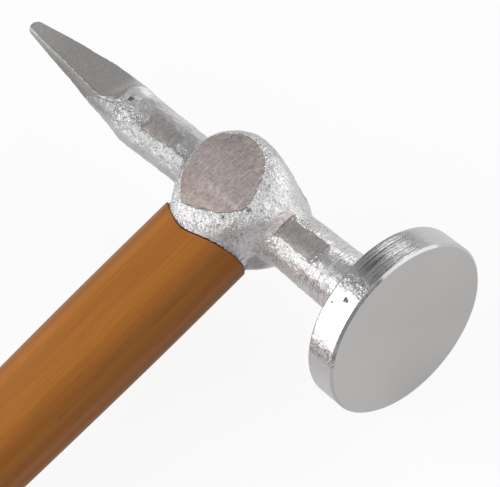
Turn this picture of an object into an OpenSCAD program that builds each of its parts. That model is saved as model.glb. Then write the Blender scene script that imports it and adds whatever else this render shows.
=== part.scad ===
// Panel beating hammer lying on its side.
// The origin is the centre of the striking face, +X points out of that face,
// +Y points to the top of the head and +Z is the outward side of the upper cheek.

/* [Striking face] */
// Diameter of the disc that carries the flat round face
disc_d = 40; // [34:1:52]
// Thickness of the disc at its rim, bevel included
disc_t = 7.3; // [5.5:0.1:11]
// Bevel around the edge of the face
face_bevel = 0.5; // [0.2:0.1:1]
// Rounding of the disc's back edge
disc_back_round = 1.4; // [0.6:0.1:2]
// Distance from the face to the handle's axis
face_reach = 51.7; // [48:0.1:70]

/* [Neck] */
// Neck diameter where it meets the disc
neck_d_disc = 14; // [10:0.2:17]
// Neck diameter where it meets the boss
neck_d_boss = 13.2; // [10:0.2:16]
// Fillet between the neck and the disc
neck_fillet = 2.5; // [1:0.5:5]

/* [Boss] */
// Diameter of the drum-like boss, about the line through its cheeks
boss_d = 26.4; // [25:0.1:30]
// Distance from the handle's axis back to the middle of the boss
boss_back = 0.7; // [0:0.1:1.2]
// Distance that the middle of the boss lies below the head's axis
boss_drop = 0.5; // [0:0.1:1.5]
// Width of the boss before its cheeks are ground
boss_w = 21.4; // [21.2:0.1:24]
// Width across the two ground cheeks
cheek_w = 20.6; // [19:0.1:21]
// Squareness of the boss's rounding towards the cheeks, where 2 is a ball
boss_power = 6; // [3:0.1:8]
// Diameter of the boss's tapering flank at the middle of the boss
flank_d = 25; // [23:0.1:26]
// Distance from the handle's axis to the place where that flank meets the neck
flank_reach = 15.5; // [14:0.1:19]

/* [Pick] */
// Distance from the handle's axis to the point of the pick
pick_reach = 82.2; // [72:0.2:110]
// Shank diameter where it meets the boss
shank_d_boss = 12.2; // [10:0.1:16]
// Shank diameter at its fullest, where the pick begins
shank_d_full = 12.9; // [11:0.1:17]
// Distance from the handle's axis to the start of the pick
full_reach = 38; // [30:0.5:46]
// Diameter of the blunt point
tip_d = 3.8; // [2.4:0.1:6]
// Rise of the point above the head's axis
tip_rise = 1.8; // [0:0.1:4]
// Fullness of the pick's taper, where 1 is a straight cone
pick_belly = 1.3; // [1:0.05:1.6]
// Distance from the handle's axis to the start of the flats ground on the pick
pick_flat_reach = 46; // [40:0.5:60]
// Thickness of the pick across its ground flats where they start
pick_flat_w = 9.6; // [8:0.1:12]
// Thickness of the pick across its ground flats at the point
tip_flat_w = 2.6; // [1.6:0.1:4]
// Radius of the grinding wheel that leaves the run-out of those flats
wheel_r = 12; // [6:1:16]

/* [Grinding marks] */
// Depth of the short flats ground on the neck and on the shank
mark_depth = 0.3; // [0.1:0.05:0.6]
// Distance from the handle's axis to the near end of the flat on the neck
neck_mark_reach = 16.7; // [14:0.1:22]
// Length of the flat ground on the neck
neck_mark_l = 11; // [6:0.5:14]
// Distance from the handle's axis to the near end of the flat on the shank
shank_mark_reach = 19; // [15:0.1:22]
// Length of the flat ground on the shank
shank_mark_l = 11; // [6:0.5:14]

/* [Eye] */
// Length of the oval eye along the head
eye_l = 22; // [18:0.2:24]
// Width of the oval eye across the cheeks
eye_w = 15; // [12:0.2:16]
// Gap between the wood and the eye, and around each wedge
fit_gap = 0.1; // [0.05:0.05:0.2]

/* [Handle] */
// Height of the crowned end of the wood in the eye, above the head's axis
crown_y = 11.8; // [11:0.1:12.4]
// Radius of that crowned end, dressed to the curve of the boss
crown_r = 17.5; // [16:0.1:24]
// Overall length of the tool, from the top of the eye to the butt
tool_l = 315; // [260:1:400]
// Oval length of the handle below the head
handle_l = 24.2; // [22:0.2:28]
// Oval width of the handle below the head
handle_w = 17.8; // [15:0.2:22]
// Length of the shoulder over which the handle swells below the head
shoulder_run = 11; // [6:0.5:16]
// Oval length of the waist
waist_l = 20.5; // [17:0.2:26]
// Oval width of the waist
waist_w = 15.5; // [13:0.2:20]
// Distance from the butt to the middle of the waist
waist_up = 165; // [140:1:190]
// Oval length of the grip at its fullest
grip_l = 31; // [26:0.5:36]
// Oval width of the grip at its fullest
grip_w = 23; // [18:0.5:28]
// Distance from the butt to the fullest part of the grip
grip_up = 52; // [30:1:80]
// Oval length of the butt before it is rounded
butt_l = 28.5; // [24:0.5:34]
// Oval width of the butt before it is rounded
butt_w = 21; // [17:0.5:26]
// Radius of the rounded butt
butt_round = 6; // [3:0.5:8]

/* [Wedges] */
// Depth that the wooden wedge is driven to
wood_wedge_depth = 16; // [10:0.5:20]
// Thickness of the wooden wedge at the top
wood_wedge_t = 3; // [2:0.1:4]
// Depth that each steel wedge is driven to
steel_wedge_depth = 11; // [7:0.5:15]
// Length of each steel wedge across the eye
steel_wedge_l = 9; // [6:0.2:10]
// Thickness of each steel wedge at the top
steel_wedge_t = 2; // [1.4:0.1:2.6]
// Distance between the two steel wedges
steel_wedge_gap = 9; // [7:0.5:11]

/* [Hidden] */

$fn = 96;
slack = 1;               // how far a cutting solid runs past what it cuts
arc_steps = 10;          // straight steps in each rounded stretch of a profile
taper_steps = 12;        // straight steps along the pick
swell_step = 0.1;        // how far the swell between shank and pick stands proud of both
wedge_point = 0.3;       // a wedge's thickness at its thin edge, as a share of its top

disc_r = disc_d / 2;
neck_r_disc = neck_d_disc / 2;
neck_r_boss = neck_d_boss / 2;
shank_r_boss = shank_d_boss / 2;
shank_r_full = shank_d_full / 2;
shank_r_end = shank_r_full - swell_step;
tip_r = tip_d / 2;
boss_x = -face_reach - boss_back;
boss_pick_x = boss_x - boss_d / 2;
flank_x = -face_reach + flank_reach;
full_x = -face_reach - full_reach;
tip_x = -face_reach - pick_reach;
pick_flat_x = -face_reach - pick_flat_reach;
shoulder_y = -boss_drop - boss_d / 2;
butt_y = crown_y - tool_l;

// Lays a profile drawn as [distance along X, radius] around the head's axis
module spin_x(points)
  rotate([0, 90, 0])
    rotate_extrude()
      polygon([for (p = points) [p[1], p[0]]]);

// Points of a rounded stretch from angle a0 to angle a1 about a centre
function arc_points(centre, r, a0, a1) =
  [for (i = [0:arc_steps]) let (a = a0 + (a1 - a0) * i / arc_steps)
    centre + r * [cos(a), sin(a)]];

// One half of an oval of the given squareness, as [radius, height] points
function oval_half(r, h, power, steps = 48) =
  [for (i = [0:steps]) let (a = -90 + 180 * i / steps, c = abs(cos(a)), s = sin(a))
    [r * pow(c, 2 / power), sign(s) * h * pow(abs(s), 2 / power)]];

// Face disc and neck, with the flank by which the neck runs into the boss
module disc_and_neck() {
  round_c = [-disc_t + disc_back_round, disc_r - disc_back_round];
  fillet_c = [-disc_t - neck_fillet, neck_r_disc + neck_fillet];
  spin_x(concat(
    [[0, 0], [0, disc_r - face_bevel], [-face_bevel, disc_r]],
    arc_points(round_c, disc_back_round, 90, 180),
    arc_points(fillet_c, neck_fillet, 0, -90),
    [[flank_x, neck_r_boss], [boss_x, flank_d / 2], [boss_x, 0]]
  ));
}

// Shank behind the boss, which swells a little before the pick begins
module shank()
  spin_x([[-face_reach, 0], [-face_reach, shank_r_boss], [boss_pick_x, shank_r_boss],
    [full_x, shank_r_end], [full_x, 0]]);

// Round tapering pick whose blunt point rises towards the top of the head
module pick_taper() {
  run = full_x - tip_x - tip_r;
  taper_l = norm([run, tip_rise]);
  translate([full_x, 0, 0])
    rotate([0, 0, -atan2(tip_rise, run)]) {
      rotate([0, 90, 0]) sphere(shank_r_full);
      spin_x(concat(
        [[0, 0]],
        [for (i = [0:taper_steps]) let (t = i / taper_steps)
          [-taper_l * t, shank_r_end + (tip_r - shank_r_end) * pow(t, pick_belly)]],
        [[-taper_l, 0]]
      ));
      translate([-taper_l, 0, 0]) sphere(tip_r);
    }
}

// Drum-like boss around the eye, before its cheeks are ground
module boss_blank()
  translate([boss_x, -boss_drop, 0])
    rotate_extrude()
      polygon(oval_half(boss_d / 2, boss_w / 2, boss_power));

// Straight hole or peg of oval section along the handle, from y0 up to y1
module oval_bar(length_x, width_z, y0, y1)
  translate([-face_reach, y0, 0])
    rotate([-90, 0, 0])
      scale([1, width_z / length_x, 1])
        cylinder(h = y1 - y0, d = length_x);

// Block that grinds a cheek or a mark flat at height z, between x0 and x1
module grind_block(x0, x1, z, half_y)
  translate([x0, -half_y, z]) cube([x1 - x0, 2 * half_y, disc_r]);

// What a wheel grinds off one side of the pick: a flat down to the point and its run-out
module pick_flat_block() {
  slope = atan2((pick_flat_w - tip_flat_w) / 2, pick_flat_x - tip_x);
  translate([pick_flat_x, 0, pick_flat_w / 2])
    rotate([0, -slope, 0]) {
      translate([-pick_reach, -disc_r, 0]) cube([pick_reach, disc_d, disc_r]);
      translate([0, 0, wheel_r]) rotate([90, 0, 0]) cylinder(h = disc_d, r = wheel_r, center = true);
    }
}

// Everything that is ground away on the upper side
module ground_side() {
  neck_mark_x = neck_mark_reach - face_reach;
  shank_mark_x = -shank_mark_reach - face_reach;
  grind_block(boss_pick_x, flank_x, cheek_w / 2, disc_r);
  grind_block(neck_mark_x, neck_mark_x + neck_mark_l, neck_r_boss - mark_depth, neck_r_boss);
  grind_block(shank_mark_x - shank_mark_l, shank_mark_x, shank_r_boss - mark_depth, shank_r_full);
  pick_flat_block();
}

module hammer_head() color("silver")
  difference() {
    union() {
      disc_and_neck();
      shank();
      pick_taper();
      boss_blank();
    }
    ground_side();
    mirror([0, 0, 1]) ground_side();
    oval_bar(eye_l, eye_w, -disc_r, disc_r);
  }

// Stations of the handle below the head, as [height, half length, half width]
swell_y = shoulder_y - shoulder_run;
waist_y = butt_y + waist_up;
grip_y = butt_y + grip_up;
stations = [
  [shoulder_y, eye_l / 2, eye_w / 2],
  [swell_y, handle_l / 2, handle_w / 2],
  [swell_y - shoulder_run, handle_l / 2, handle_w / 2],
  [waist_y, waist_l / 2, waist_w / 2],
  [grip_y, grip_l / 2, grip_w / 2],
  [butt_y + butt_round, butt_l / 2, butt_w / 2]
];
station_steps = 6;
oval_sides = 36;

// Station that lies share t of the way from p to q, on a course level at both ends
function eased(p, q, t) =
  let (bend = (1 - cos(180 * t)) / 2)
    [p[0] + (q[0] - p[0]) * t, p[1] + (q[1] - p[1]) * bend, p[2] + (q[2] - p[2]) * bend];

// Station on the rounded butt, where the angle runs from 0 to 90 degrees
function butt_station(angle) =
  [butt_y + butt_round * (1 - sin(angle)),
    butt_l / 2 - butt_round * (1 - cos(angle)),
    butt_w / 2 - butt_round * (1 - cos(angle))];

function handle_course() = concat(
  [for (k = [0:len(stations) - 2]) for (i = [0:station_steps - 1])
    eased(stations[k], stations[k + 1], i / station_steps)],
  [for (i = [0:arc_steps]) butt_station(90 * i / arc_steps)]
);

// Ring of points around the handle's axis at one station
function oval_ring(station) =
  [for (i = [0:oval_sides - 1]) let (a = 360 * i / oval_sides)
    [station[1] * cos(a), station[0], station[2] * sin(a)]];

// Oval handle below the head, lofted through its stations
module handle_body() {
  course = handle_course();
  last = len(course) - 1;
  translate([-face_reach, 0, 0])
    polyhedron(
      points = [for (station = course) each oval_ring(station)],
      faces = concat(
        [[for (i = [0:oval_sides - 1]) i]],
        [for (k = [0:last - 1]) for (i = [0:oval_sides - 1])
          let (j = (i + 1) % oval_sides, here = k * oval_sides, next = here + oval_sides)
            [here + i, next + i, next + j, here + j]],
        [[for (i = [oval_sides - 1:-1:0]) last * oval_sides + i]]
      )
    );
}

// Round bar across the eye, whose upper side is the crown that the wood and wedges are dressed to
module crown_bar()
  translate([-face_reach, crown_y - crown_r, 0])
    cylinder(h = disc_d, r = crown_r, center = true);

// Tapered wedge standing on its thin edge: length along X, thickness along Z
module wedge_shape(length_x, thick_top, depth, grow = 0) {
  half_top = thick_top / 2;
  half_low = half_top * wedge_point;
  translate([0, crown_y, 0])
    rotate([0, 90, 0])
      translate([0, 0, -length_x / 2 - grow])
        linear_extrude(length_x + 2 * grow)
          polygon([
            [half_low + grow, -depth - grow],
            [half_top + grow, grow > 0 ? slack : 0],
            [-half_top - grow, grow > 0 ? slack : 0],
            [-half_low - grow, -depth - grow]
          ]);
}

module wood_wedge_shape(grow = 0)
  translate([-face_reach, 0, 0])
    wedge_shape(eye_l - 4 * fit_gap, wood_wedge_t, wood_wedge_depth, grow);

// side is 1 for the wedge nearer the face and -1 for the one nearer the pick
module steel_wedge_shape(side, grow = 0)
  translate([-face_reach + side * steel_wedge_gap / 2, 0, 0])
    rotate([0, 90, 0])
      wedge_shape(steel_wedge_l, steel_wedge_t, steel_wedge_depth, grow);

module steel_wedge_slots()
  for (side = [-1, 1]) steel_wedge_shape(side, fit_gap);

// Oval peg that fills the eye up to its crown
module tenon_blank()
  intersection() {
    oval_bar(eye_l - 2 * fit_gap, eye_w - 2 * fit_gap, shoulder_y - slack, crown_y + slack);
    crown_bar();
  }

// Tenon with its saw kerf and the slots of the steel wedges
module tenon()
  difference() {
    tenon_blank();
    wood_wedge_shape(fit_gap);
    steel_wedge_slots();
  }

module handle() color("peru") {
  handle_body();
  tenon();
}

module wood_wedge() color("burlywood")
  difference() {
    intersection() {
      wood_wedge_shape();
      tenon_blank();
    }
    steel_wedge_slots();
  }

// Steel wedge dressed flush with the crown
module steel_wedge(side) color("slategray")
  intersection() {
    steel_wedge_shape(side);
    crown_bar();
  }

module steel_wedge_front() steel_wedge(1);

module steel_wedge_rear() steel_wedge(-1);

hammer_head();
handle();
wood_wedge();
steel_wedge_front();
steel_wedge_rear();
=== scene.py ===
import math

import bmesh
import bpy
import numpy as np
from bpy.props import FloatProperty, FloatVectorProperty, PointerProperty
from mathutils import Matrix, Vector, noise


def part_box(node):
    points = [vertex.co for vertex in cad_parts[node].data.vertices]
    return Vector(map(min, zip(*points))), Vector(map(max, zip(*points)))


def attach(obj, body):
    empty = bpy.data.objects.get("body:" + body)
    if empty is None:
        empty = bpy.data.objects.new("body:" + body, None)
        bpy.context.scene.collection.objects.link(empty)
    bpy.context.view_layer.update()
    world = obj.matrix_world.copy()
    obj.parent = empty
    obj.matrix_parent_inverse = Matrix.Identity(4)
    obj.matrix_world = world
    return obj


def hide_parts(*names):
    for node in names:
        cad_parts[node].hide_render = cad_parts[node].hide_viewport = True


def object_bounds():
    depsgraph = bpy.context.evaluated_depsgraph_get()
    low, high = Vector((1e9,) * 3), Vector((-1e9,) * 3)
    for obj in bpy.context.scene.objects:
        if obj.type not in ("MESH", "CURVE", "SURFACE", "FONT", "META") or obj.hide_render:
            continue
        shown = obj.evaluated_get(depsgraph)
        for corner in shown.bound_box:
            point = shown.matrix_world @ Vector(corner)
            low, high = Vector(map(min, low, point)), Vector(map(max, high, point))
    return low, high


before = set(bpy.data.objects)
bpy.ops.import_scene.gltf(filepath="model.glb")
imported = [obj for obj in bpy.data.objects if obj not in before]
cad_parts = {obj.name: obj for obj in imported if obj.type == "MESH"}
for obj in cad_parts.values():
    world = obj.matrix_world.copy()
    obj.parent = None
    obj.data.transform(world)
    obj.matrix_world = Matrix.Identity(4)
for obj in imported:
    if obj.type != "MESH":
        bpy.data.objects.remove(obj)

bl_info = {
    "name": "Panel beating hammer",
    "version": (1, 0, 0),
    "blender": (4, 5, 0),
    "location": "3D View > Sidebar > Hammer",
    "description": "Dresses a panel beating hammer: cast head, ground pick and oval wooden handle",
    "category": "Object",
}

CAD_BOX = [list(corner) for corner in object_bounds()]
HEAD_LOW, HEAD_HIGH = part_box("hammer_head")
HANDLE_LOW, HANDLE_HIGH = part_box("handle")
BODY = "root"

# How finely the pieces are made.
CAST_SIDES = 208
OVAL_SIDES = 160
WHEEL_STEPS = 72
ARC_STEPS = 8
HALVINGS = 26
HANDLE_SIDES = 128
HANDLE_RINGS = 400
# Spacing of the casting's rings in metres, from the neck to the pick.
NECK_SPACING = 0.00042
BLEND_SPACING = 0.00022
BOSS_SPACING = 0.00036
STEEP_SPACING = 0.00013
PICK_SPACING = 0.00048
# Distances in metres from the boss's front and rear ends to where that spacing changes.
BLEND_FRONT = 0.0015
BLEND_INSIDE = 0.0045
STEEP_INSIDE = 0.0060
STEEP_REAR = 0.0020
# Rings over the rim, over the disc's back and over the blunt point.
RIM_RINGS = 12
BACK_RINGS = 14
POINT_RINGS = 9
# Lengths in metres over which the casting's unevenness fades out at its ends,
# and how far the rim's finish reaches onto the neck's fillet.
NECK_FADE = 0.004
POINT_FADE = 0.02
RIM_OVERLAP = 0.0002
# Degrees between two faces above which their edge is sharp.
STEEL_CREASE = 30
WOOD_CREASE = 35
# Crowding of the handle's rings towards its ends, and the seed and frequencies of its wandering.
END_CROWDING = 0.6
WANDER_SEED = 3.0
WANDER_ROUND = 0.6
WANDER_ALONG = 16
# Frequencies of the casting's unevenness, per metre.
SWELL_FREQUENCY = 110
GRAIN_FREQUENCY = 650
FINE_FREQUENCY = 1400
# How far tools and blanks reach past what they dress, in metres.
CHEEK_OVERRUN = 0.001
TENON_OVERRUN = 0.002
WEDGE_OVERRUN = 0.004
CROWN_OVERRUN = 0.02
# Half the crown's span as a share of the eye's length.
CROWN_SPAN = 0.6
# Half thickness of a wedge's thin edge, as a share of its thickness at the top.
WEDGE_EDGE = 0.15

# How far the edges of ground steel wander and how soft they are, in metres.
RAGGED = 0.003
SOFT = 0.0005
# Stretches of the head's finish in metres, each from its lower to its higher coordinate.
TURNED_X = (-0.032, -0.021)
SHANK_X = (-0.066, -0.063)
# The shank's lower side gets painted shade, with a deeper painted band in it.
SHANK_SHADE_Y = (-0.0020, -0.0004)
SHANK_SHADE_BAND_Y = (-0.0048, -0.0015)
CALM_X = (-0.068, -0.064)
CALM_Y = (-0.001, 0.002)
CHEEK_TOP_Y = (0.001, 0.008)
CHEEK_LOW_Y = (-0.010, -0.002)
# Painted shade below the pick's flat starts along this line.
UNDER_SHADE_X = -0.097
UNDER_SHADE_Y = (-0.0029, -0.0019)
UNDER_SHADE_SLOPE = 0.087
# Painted shade over the wheel's run-out, deeper on its lower side.
RUNOUT_SHADE_X = (-0.0985, -0.0950)
RUNOUT_SHADE_Y = (-0.0030, 0.0010)
# A painted highlight lightens the pick towards its point.
POINT_HIGHLIGHT_X = (-0.132, -0.114)
# Painted highlight streaks where the neck's flat begins.
HIGHLIGHT_STREAKS_X = (-0.0368, -0.0342)
HIGHLIGHT_STREAKS_Y = (-0.0034, 0.0034)
HIGHLIGHT_STREAKS_Z = (0.0062, 0.0066)
# Spots on the casting: place and radius in metres.
# A rough blotch, also painted lighter as a highlight.
BLOTCH_AND_HIGHLIGHT = ((-0.0885, -0.0005, 0.0062), 0.0036)
# Painted highlights on the boss and on the pick.
BOSS_HIGHLIGHT = ((-0.0405, 0.0065, 0.0080), 0.0085)
PICK_HIGHLIGHT = ((-0.0905, 0.0038, 0.0052), 0.0034)
# A smooth spot under the boss, painted dark as shade.
SMOOTH_SHADED_SPOT = ((-0.0405, -0.0085, -0.0030), 0.0036)
CAST_PITS = (((-0.0894, 0.0011, 0.0064), 0.0008), ((-0.0449, -0.0074, 0.0099), 0.0003),
             ((-0.0413, -0.0029, 0.0101), 0.0004))
RIM_PITS = (((-0.0032, -0.0067, 0.0188), 0.00045), ((-0.0056, -0.0086, 0.0181), 0.0002))
# Stretches of the disc's finish: along X in metres, and round the rim in degrees
# from the upper cheek's side towards the top of the head.
RIM_X = (-0.0074, -0.0068)
BEVEL_X = (-0.0006, -0.0004)
GROOVED = (-2, 32)
ROUGH_HIGH = (-15, -3)
ROUGH_LOW = (-60, -49)
SMOOTH = (30, 42)
# Painted shade on the rim's side towards the handle begins here.
RIM_SHADE_EDGE = (-64, -60)
# Painted shade on the bevel towards the handle, and a painted highlight on it towards the top.
BEVEL_SHADE_EDGE = (-22, -12)
BEVEL_HIGHLIGHT = (2, 46)
# The wood's growth rings, and where painted shade darkens the handle's sides, in metres.
PITH_X = -0.030
PITH_Z = 0.055
RING_WIDTH = 0.0034
SHADED_WOOD_FRONT_X = (-0.0465, -0.0400)
SHADED_WOOD_REAR_X = (-0.0605, -0.0570)
SHADED_WOOD_LOW_Z = (-0.005, 0.003)

# Shares of plain white in the floor, seen directly and mirrored in the steel.
FLOOR_SEEN = 0.90
FLOOR_MIRRORED = 0.45
# The floor's size, and the direction and size of each soft light.
FLOOR_HALF = 3
FLOOR_THICKNESS = 0.01
LAMP_DISTANCE = 1.1
LAMPS = {"key": ((-0.56, -0.64, 0.50), (0.75, 1.0)), "fill": ((0.10, 0.80, 0.58), (0.80, 0.70)),
         "edge": ((0.69, 0.59, 0.40), (0.30, 0.30))}


def length(name, description, default):
    """A size in metres that shows in the panel in the scene's own unit."""
    return FloatProperty(name=name, description=description, default=default,
                         unit="LENGTH", precision=5)


def colour(name, description, default):
    """A linear colour that shows as a swatch."""
    return FloatVectorProperty(name=name, description=description, default=default,
                               subtype="COLOR", size=3, min=0, max=1)


def angle(name, description, degrees):
    """An angle, written here in degrees and kept in radians."""
    return FloatProperty(name=name, description=description, default=math.radians(degrees),
                         unit="ROTATION")


def number(name, description, default, low, high):
    """A plain number with its limits."""
    return FloatProperty(name=name, description=description, default=default, min=low, max=high)


def watts(name, description, default):
    """A light's power."""
    return FloatProperty(name=name, description=description, default=default, unit="POWER")


def pixels(name, description, default):
    """A pair of numbers in pixels of the picture."""
    return FloatVectorProperty(name=name, description=description, default=default, size=2)


class HeadSizes(bpy.types.PropertyGroup):
    """Sizes of the steel head"""
    disc_radius: length("Disc radius", "Radius of the disc that carries the face", HEAD_HIGH[2])
    disc_thickness: length("Disc thickness", "Thickness of the disc at its rim", 0.0073)
    face_bevel: length("Face bevel", "Bevel around the striking face", 0.0005)
    back_round: length("Back rounding", "Rounding of the disc's back edge", 0.0008)
    face_reach: length("Face reach", "Distance from the face to the handle's axis", 0.0517)
    neck_radius_disc: length("Neck radius at disc", "Neck radius beside the disc", 0.0070)
    neck_radius_boss: length("Neck radius at boss", "Neck radius beside the boss", 0.0066)
    neck_fillet: length("Neck fillet", "Fillet between the neck and the disc", 0.0025)
    neck_sag: length("Neck sag", "Drop of the neck's middle below the head's axis", 0.0002)
    boss_back: length("Boss offset", "Distance from the handle's axis to the boss's fullest section", 0.0029)
    boss_rise: length("Boss rise", "Height of the boss's widest level above the head's axis", 0.00186)
    boss_front: length("Boss front", "Boss's reach from its fullest section towards the face", 0.0195)
    boss_rear: length("Boss rear", "Boss's reach from its fullest section towards the pick", 0.0110)
    boss_top: length("Boss top", "Height of the boss above its widest level", 0.0106)
    boss_low: length("Boss bottom", "Height of the boss below its widest level", 0.0163)
    boss_width: length("Boss width", "Width of the boss before its cheeks are ground", 0.0222)
    boss_round: number("Boss roundness", "Form of the boss seen on its cheeks, where 2 is round", 1.79, 1, 4)
    boss_power: number("Boss squareness", "Rounding towards the cheeks, where 2 is a ball", 4.16, 2, 8)
    boss_taper: number("Boss taper", "Share by which the boss narrows towards the face", 0.18, 0, 1)
    boss_taper_low: length("Boss taper depth", "Depth below the boss's widest level where it ends", 0.0052)
    skirt_y: length("Skirt place", "Place of the boss's lower edge under its middle", -0.0143)
    skirt_lift: length("Skirt lift", "Rise of that edge towards the pick and the face", 0.0043)
    skirt_bend: number("Skirt bend", "Share of the edge over which it turns upwards", 0.17, 0.01, 1)
    skirt_length: length("Skirt length", "Oval length of the boss where the wood meets it", 0.0237)
    skirt_width: length("Skirt width", "Oval width of the boss where the wood meets it", 0.0176)
    skirt_blend: length("Skirt blend", "Reach of the fillet between the boss and this skirt", 0.0012)
    cheek_width: length("Cheek width", "Width across the two ground cheeks", 0.0206)
    boss_blend: length("Boss blend", "Reach of the cast fillets around the boss", 0.0030)
    shank_radius_boss: length("Shank radius at boss", "Shank radius beside the boss", 0.0061)
    shank_radius_full: length("Full shank radius", "Shank radius where the pick begins", 0.00645)
    full_reach: length("Pick start", "Distance from the handle's axis to the start of the pick", 0.038)
    tip_radius: length("Point radius", "Radius of the blunt point", 0.0019)
    tip_rise: length("Point rise", "Rise of the point above the head's axis", 0.0018)
    rise_bend: number("Rise bend", "Share of the pick over which it rises quickly", 0.35, 0.05, 2)
    pick_belly: number("Pick belly", "Fullness of the taper, where 1 is a straight cone", 1.3, 1, 2)
    flat_reach: length("Flat start", "Distance from the handle's axis to the pick's ground flats", 0.048)
    flat_width: length("Flat width", "Thickness across those flats where they start", 0.0070)
    flat_tip_width: length("Flat point width", "Thickness across those flats at the point", 0.0026)
    flat_tilt: angle("Flat tilt", "Turn of those flats towards the top of the head", 18)
    wheel_radius: length("Wheel radius", "Radius of the wheel that ground those flats", 0.012)
    ground_reach: length("Ground start", "Distance from the handle's axis to the ground pick", 0.0405)
    mark_depth: length("Mark depth", "Depth of the short flats on neck and shank", 0.00035)
    mark_ramp: number("Mark ramp", "Share of a mark's length over which it runs out", 0.25, 0, 1)
    neck_mark_reach: length("Neck mark start", "Distance from the handle's axis to its flat", 0.0167)
    neck_mark: length("Neck mark", "Length of the short flat on the neck", 0.0115)
    shank_mark_reach: length("Shank mark start", "Distance from the handle's axis to its flat", 0.019)
    shank_mark: length("Shank mark", "Length of the short flat on the shank", 0.011)
    eye_length: length("Eye length", "Length of the oval eye along the head", 0.022)
    eye_width: length("Eye width", "Width of the oval eye across the cheeks", 0.015)
    cast_swell: length("Cast unevenness", "Height of the casting's slow swells", 0.00018)
    cast_grain: length("Cast grain", "Height of the casting's grain", 0.00012)


class HandleSizes(bpy.types.PropertyGroup):
    """Sizes of the handle and its wedges"""
    fit_gap: length("Fit gap", "Gap between the wood and the eye", 0.0001)
    crown_height: length("Crown height", "Height of the wood's crowned end above the head's axis", 0.0112)
    crown_radius: length("Crown radius", "Radius of that crowned end", 0.0260)
    shoulder_run: length("Shoulder run", "Length over which the handle swells below the head", 0.0004)
    level_run: length("Level run", "Length that keeps this oval before the handle narrows", 0.011)
    top_length: length("Oval length", "Oval length of the handle below the head", 0.0242)
    top_width: length("Oval width", "Oval width of the handle below the head", 0.0178)
    waist_length: length("Waist length", "Oval length of the waist", 0.0205)
    waist_width: length("Waist width", "Oval width of the waist", 0.0155)
    waist_up: length("Waist place", "Distance from the butt to the waist", 0.165)
    grip_length: length("Grip length", "Oval length of the grip at its fullest",
                        HANDLE_HIGH[0] - HANDLE_LOW[0])
    grip_width: length("Grip width", "Oval width of the grip at its fullest",
                       HANDLE_HIGH[2] - HANDLE_LOW[2])
    grip_up: length("Grip place", "Distance from the butt to the fullest part of the grip", 0.052)
    butt_length: length("Butt length", "Oval length of the butt", 0.0285)
    butt_width: length("Butt width", "Oval width of the butt", 0.021)
    butt_round: length("Butt rounding", "Radius of the rounded butt", 0.006)
    squareness: number("Squareness", "Squareness of the oval, where 2 is an ellipse", 2.2, 2, 3)
    unevenness: number("Unevenness", "Share by which the hand-shaped oval wanders", 0.012, 0, 0.05)
    wedge_depth: length("Wedge depth", "Depth that the wooden wedge is driven to", 0.016)
    wedge_thickness: length("Wedge thickness", "Thickness of the wooden wedge at the top", 0.003)
    steel_depth: length("Steel wedge depth", "Depth that each steel wedge is driven to", 0.011)
    steel_length: length("Steel wedge length", "Length of each steel wedge across the eye", 0.009)
    steel_thickness: length("Steel wedge thickness", "Thickness of each steel wedge at the top", 0.002)
    steel_gap: length("Steel wedge gap", "Distance between the two steel wedges", 0.009)


class FinishColours(bpy.types.PropertyGroup):
    """Colours of steel, wood and floor"""
    cast: colour("Cast steel", "Bright rough casting", (0.68, 0.67, 0.675))
    pit: colour("Pits", "Dark pits in the casting", (0.09, 0.085, 0.08))
    ground: colour("Ground steel", "Ground cheeks", (0.74, 0.645, 0.63))
    warm: colour("Warm steel", "Tint of the ground cheeks towards the handle", (0.60, 0.47, 0.40))
    mark: colour("Marked steel", "Short ground marks on neck and shank", (0.56, 0.52, 0.505))
    # Painted highlight streaks, pinkish, beside the neck's mark.
    streak: colour("Streaked steel", "Light streaks beside the mark on the neck", (0.72, 0.64, 0.62))
    pick: colour("Pick steel", "Smooth ground pick", (0.54, 0.53, 0.515))
    face: colour("Face steel", "Smooth turned face", (0.565, 0.55, 0.545))
    # Painted highlight on part of the face's bevel.
    bevel: colour("Bright bevel", "Bright part of the bevel around the face", (0.97, 0.965, 0.96))
    wood_light: colour("Light wood", "Early wood under the varnish", (0.51, 0.186, 0.022))
    wood_dark: colour("Dark wood", "Late wood under the varnish", (0.37, 0.120, 0.014))
    wood_stain: colour("Stained wood", "Wood darkened by dirt beside the steel", (0.07, 0.03, 0.014))
    dusty_wood: colour("Dusty wood", "Wood grey with metal dust at the rim of the eye", (0.56, 0.55, 0.545))
    raw_wood: colour("Raw wood", "Bare sawn wood", (0.50, 0.33, 0.17))
    wedge_steel: colour("Wedge steel", "Dull mild steel", (0.30, 0.30, 0.31))
    floor: colour("Floor", "Plain pale floor", (0.90, 0.90, 0.90))


class StageSettings(bpy.types.PropertyGroup):
    """Camera, surroundings and lights"""
    azimuth: angle("Azimuth", "Camera's azimuth round the object", 75.2)
    elevation: angle("Elevation", "Camera's elevation above the horizon", 53.0)
    roll: angle("Roll", "Camera's roll", -32.74)
    distance: length("Distance", "Distance from the camera to the boss", 0.400)
    pixels_per_mm: number("Scale", "Pixels to a millimetre at the boss", 4.649, 1, 20)
    aim_x: length("Aim", "Point of the head's axis that the camera's place is worked out from", -0.0525)
    aim_pixel: pixels("Aim pixel", "Where that point lies in the picture", (240.7, 199.16))
    picture: pixels("Picture", "Width and height of the picture in pixels", (500, 487))
    sky: number("Surroundings", "Brightness of the surroundings that light the object", 0.50, 0, 1)
    key_power: watts("Key power", "Power of the large soft light", 6.8)
    fill_power: watts("Fill power", "Power of the light beyond the head's top", 4.6)
    edge_power: watts("Edge power", "Power of the small light on the face's side", 1.0)


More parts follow.
